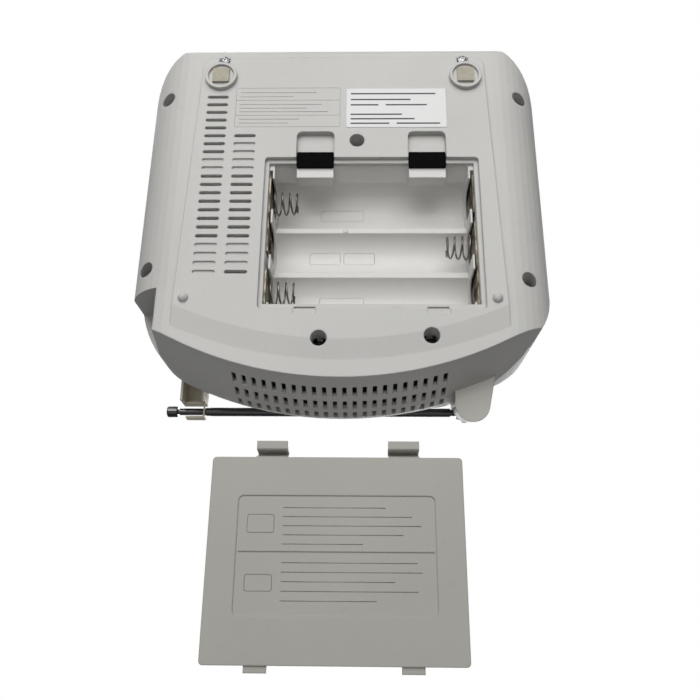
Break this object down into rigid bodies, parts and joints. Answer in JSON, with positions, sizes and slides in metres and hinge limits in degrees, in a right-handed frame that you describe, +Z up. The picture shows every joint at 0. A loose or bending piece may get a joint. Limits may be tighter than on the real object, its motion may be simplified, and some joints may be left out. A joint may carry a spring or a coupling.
{
  "type": "portable disc, cassette and radio player",
  "caption": "Portable player with round rear wall, open battery bay and loose cover beside it, folded rod antenna, disc lid, cassette door and carry handle.",
  "frame": {"origin": "floor level under the centre of the footprint of the set and the removed battery cover behind it", "axes": "+X to the right seen from the front, the front with the cassette door faces -Y, the rear with the antenna and the removed cover is +Y, +Z up; the set stands on its own feet"},
  "size_m": [0.224, 0.335, 0.1065],
  "materials": {
    "case_lower": "fine satin, warm pale grey moulding",
    "case_upper": "fine satin, warm pale grey moulding",
    "front_plastic": "satin silver-grey moulding",
    "tray_plastic": "pale grey inner moulding",
    "cover_plastic": "satin grey moulding, slightly darker than the case",
    "contact_metal": "tarnished plated sheet",
    "spring_steel": "tarnished wire",
    "felt_black": "black felt",
    "foot_pad": "beige translucent rubber",
    "screw_steel": "zinc plated",
    "label": "thin silver foil",
    "black_plastic": "black",
    "housing_plastic": "satin warm grey",
    "clip_plastic": "satin beige-grey",
    "pin_steel": "plain",
    "antenna_chrome": "bright plated",
    "core_steel": "varnished laminations",
    "board_green": "solder-masked laminate",
    "ferrite": "sintered ferrite",
    "speaker_metal": "pressed steel",
    "cone_paper": "coated paper",
    "deck_metal": "dark pressed frame",
    "motor_can": "plain can",
    "belt_rubber": "rubber",
    "brass_turned": "turned",
    "hub_plastic": "white moulding",
    "head_metal": "polished face",
    "door_plastic": "grey moulding",
    "key_grey": "silver-grey moulding",
    "key_red": "red moulding",
    "lid_plastic": "silver-grey moulding",
    "knob_grey": "grey moulding",
    "window_dark": "smoked clear plastic"
  },
  "bodies": {
    "case": {"lower_case": "case_lower", "upper_case": "case_upper", "front_panel": "front_plastic", "battery_tray": "tray_plastic", "contact_left_long": "contact_metal", "contact_left_short": "contact_metal", "contact_right_long": "contact_metal", "contact_right_short": "contact_metal", "battery_springs": "spring_steel", "latch_pads": "felt_black", "foot_pads": "foot_pad", "case_screws": "screw_steel", "label_plate": "label", "ac_inlet": "black_plastic", "antenna_housing": "housing_plastic", "antenna_clip": "clip_plastic", "antenna_pin": "pin_steel", "power_transformer": "core_steel", "main_board": "board_green", "ferrite_rod": "ferrite", "speaker_frames": "speaker_metal", "speaker_cones": "cone_paper", "deck_frame": "deck_metal", "deck_motor": "motor_can", "drive_belt": "belt_rubber", "tape_head": "head_metal", "cd_well": "black_plastic", "cd_motor": "motor_can", "lid_pin": "pin_steel", "handle_pins": "pin_steel", "lcd_window": "window_dark", "headphone_jack": "black_plastic"},
    "cover": {"battery_cover": "cover_plastic"},
    "antenna_base": {"antenna_knuckle": "antenna_chrome", "antenna_outer_tube": "antenna_chrome"},
    "antenna_middle": {"antenna_middle_tube": "antenna_chrome"},
    "antenna_inner": {"antenna_inner_tube": "antenna_chrome", "antenna_tip": "antenna_chrome"},
    "door": {"cassette_door": "door_plastic"},
    "hub_left": {"reel_hub_left": "hub_plastic"},
    "hub_right": {"reel_hub_right": "hub_plastic"},
    "capstan_flywheel": {"flywheel": "brass_turned"},
    "pulley": {"motor_pulley": "brass_turned"},
    "lid": {"cd_lid": "lid_plastic", "cd_clamp": "deck_metal"},
    "platter": {"turntable": "black_plastic"},
    "sled": {"laser_sled": "black_plastic"},
    "handle": {"carry_handle": "case_upper"},
    "source_button": {"button_source": "key_grey"},
    "skip_button": {"button_skip": "key_grey"},
    "mode_button": {"button_mode": "key_grey"},
    "volume": {"volume_knob": "knob_grey"},
    "tuning": {"tuning_knob": "knob_grey"},
    "function": {"function_switch": "key_grey"},
    "key_record_body": {"key_record": "key_red"},
    "key_play_body": {"key_play": "key_grey"},
    "key_rewind_body": {"key_rewind": "key_grey"},
    "key_forward_body": {"key_forward": "key_grey"},
    "key_stop_body": {"key_stop": "key_grey"},
    "key_pause_body": {"key_pause": "key_grey"}
  },
  "joints": [
    {"name": "cover_slide", "type": "slide", "parent": "case", "child": "cover", "axis": [0, 1, 0], "range_m": [0, 0.12]},
    {"name": "antenna_raise", "type": "hinge", "parent": "case", "child": "antenna_base", "pos_m": [0.07, 0.0325, 0.077], "axis": [0, 1, 0], "range_deg": [0, 90]},
    {"name": "antenna_extend_middle", "type": "slide", "parent": "antenna_base", "child": "antenna_middle", "axis": [-1, 0, 0], "range_m": [0, 0.11]},
    {"name": "antenna_extend_inner", "type": "slide", "parent": "antenna_middle", "child": "antenna_inner", "axis": [-1, 0, 0], "range_m": [0, 0.11]},
    {"name": "door_open", "type": "hinge", "parent": "case", "child": "door", "pos_m": [0, -0.16509, 0.016], "axis": [1, 0, 0], "range_deg": [0, 25]},
    {"name": "hub_left_spin", "type": "hinge", "parent": "case", "child": "hub_left", "pos_m": [-0.02125, -0.1495, 0.046], "axis": [0, 1, 0], "continuous": true},
    {"name": "hub_right_spin", "type": "hinge", "parent": "case", "child": "hub_right", "pos_m": [0.02125, -0.1495, 0.046], "axis": [0, 1, 0], "continuous": true},
    {"name": "flywheel_spin", "type": "hinge", "parent": "case", "child": "capstan_flywheel", "pos_m": [0.012, -0.1375, 0.024], "axis": [0, 1, 0], "continuous": true},
    {"name": "pulley_spin", "type": "hinge", "parent": "case", "child": "pulley", "pos_m": [-0.034, -0.1375, 0.028], "axis": [0, 1, 0], "continuous": true},
    {"name": "key_record_press", "type": "slide", "parent": "case", "child": "key_record_body", "axis": [0, 0, -1], "range_m": [0, 0.0035], "stiffness_N_per_m": 300, "springref_m": -0.001},
    {"name": "key_play_press", "type": "slide", "parent": "case", "child": "key_play_body", "axis": [0, 0, -1], "range_m": [0, 0.0035], "stiffness_N_per_m": 300, "springref_m": -0.001},
    {"name": "key_rewind_press", "type": "slide", "parent": "case", "child": "key_rewind_body", "axis": [0, 0, -1], "range_m": [0, 0.0035], "stiffness_N_per_m": 300, "springref_m": -0.001},
    {"name": "key_forward_press", "type": "slide", "parent": "case", "child": "key_forward_body", "axis": [0, 0, -1], "range_m": [0, 0.0035], "stiffness_N_per_m": 300, "springref_m": -0.001},
    {"name": "key_stop_press", "type": "slide", "parent": "case", "child": "key_stop_body", "axis": [0, 0, -1], "range_m": [0, 0.0035], "stiffness_N_per_m": 300, "springref_m": -0.001},
    {"name": "key_pause_press", "type": "slide", "parent": "case", "child": "key_pause_body", "axis": [0, 0, -1], "range_m": [0, 0.0035], "stiffness_N_per_m": 300, "springref_m": -0.001},
    {"name": "lid_open", "type": "hinge", "parent": "case", "child": "lid", "pos_m": [0, 0.002, 0.1012], "axis": [-1, 0, 0], "range_deg": [0, 70]},
    {"name": "turntable_spin", "type": "hinge", "parent": "case", "child": "platter", "pos_m": [0, -0.0675, 0.09], "axis": [0, 0, 1], "continuous": true},
    {"name": "laser_travel", "type": "slide", "parent": "case", "child": "sled", "axis": [0, -1, 0], "range_m": [0, 0.029]},
    {"name": "handle_raise", "type": "hinge", "parent": "case", "child": "handle", "pos_m": [0, -0.0695, 0.1023], "axis": [1, 0, 0], "range_deg": [0, 90]},
    {"name": "source_press", "type": "slide", "parent": "case", "child": "source_button", "axis": [0, 1, 0], "range_m": [0, 0.0015], "stiffness_N_per_m": 400, "springref_m": -0.001},
    {"name": "skip_press", "type": "slide", "parent": "case", "child": "skip_button", "axis": [0, 1, 0], "range_m": [0, 0.0015], "stiffness_N_per_m": 400, "springref_m": -0.001},
    {"name": "mode_press", "type": "slide", "parent": "case", "child": "mode_button", "axis": [0, 1, 0], "range_m": [0, 0.0015], "stiffness_N_per_m": 400, "springref_m": -0.001},
    {"name": "volume_turn", "type": "hinge", "parent": "case", "child": "volume", "pos_m": [0.08, -0.1205, 0.1], "axis": [0, 0, 1], "range_deg": [-135, 135]},
    {"name": "tuning_turn", "type": "hinge", "parent": "case", "child": "tuning", "pos_m": [0.08, -0.0945, 0.1], "axis": [0, 0, 1], "range_deg": [-135, 135]},
    {"name": "function_slide", "type": "slide", "parent": "case", "child": "function", "axis": [0, 1, 0], "range_m": [0, 0.012]}
  ],
  "couplings": [
    {"joint": "pulley_spin", "follows": "flywheel_spin", "ratio": 3.375}
  ]
}
